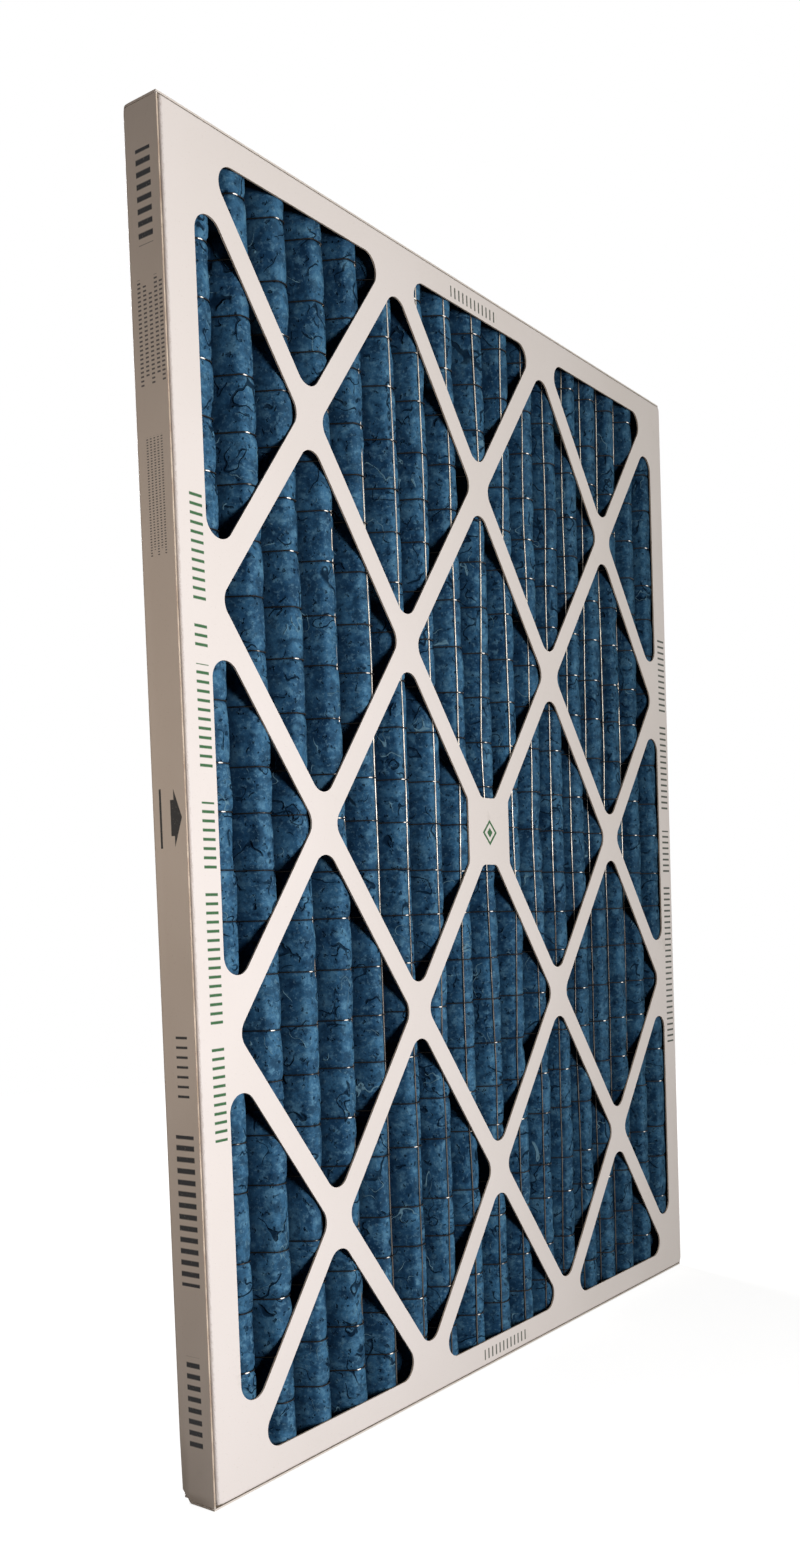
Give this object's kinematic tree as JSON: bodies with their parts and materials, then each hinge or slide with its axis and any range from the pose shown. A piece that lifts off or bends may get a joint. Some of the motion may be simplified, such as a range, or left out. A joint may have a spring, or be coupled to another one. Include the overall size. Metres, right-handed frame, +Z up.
{
  "type": "pleated air filter",
  "caption": "Flat rectangular furnace air filter: pleated blue fabric backed by a wire grid, held in a white paperboard frame with a diagonal lattice over both faces.",
  "frame": {"origin": "middle of the bottom edge, at half the depth", "axes": "+Z up along the long side, +X along the short side, +Y from the air-leaving front face to the air-entering rear face"},
  "size_m": [0.4952, 0.0222, 0.6223],
  "materials": {
    "front_board": "satin clay-coated white paperboard",
    "rear_board": "satin clay-coated white paperboard, tan cut edges",
    "filter_fabric": "matt lofted nonwoven",
    "grid_wire": "bright drawn wire"
  },
  "bodies": {
    "root": {"front_frame": "front_board", "rear_frame": "rear_board", "pleated_media": "filter_fabric", "long_wire_01": "grid_wire", "long_wire_02": "grid_wire", "long_wire_03": "grid_wire", "long_wire_04": "grid_wire", "long_wire_05": "grid_wire", "long_wire_06": "grid_wire", "long_wire_07": "grid_wire", "long_wire_08": "grid_wire", "long_wire_09": "grid_wire", "long_wire_10": "grid_wire", "long_wire_11": "grid_wire", "long_wire_12": "grid_wire", "long_wire_13": "grid_wire", "long_wire_14": "grid_wire", "long_wire_15": "grid_wire", "long_wire_16": "grid_wire", "long_wire_17": "grid_wire", "cross_wire_01": "grid_wire", "cross_wire_02": "grid_wire", "cross_wire_03": "grid_wire", "cross_wire_04": "grid_wire", "cross_wire_05": "grid_wire", "cross_wire_06": "grid_wire", "cross_wire_07": "grid_wire", "cross_wire_08": "grid_wire", "cross_wire_09": "grid_wire", "cross_wire_10": "grid_wire", "cross_wire_11": "grid_wire", "cross_wire_12": "grid_wire", "cross_wire_13": "grid_wire", "cross_wire_14": "grid_wire", "cross_wire_15": "grid_wire", "cross_wire_16": "grid_wire", "cross_wire_17": "grid_wire", "cross_wire_18": "grid_wire", "cross_wire_19": "grid_wire", "cross_wire_20": "grid_wire", "cross_wire_21": "grid_wire", "cross_wire_22": "grid_wire", "cross_wire_23": "grid_wire", "cross_wire_24": "grid_wire"}
  },
  "joints": []
}
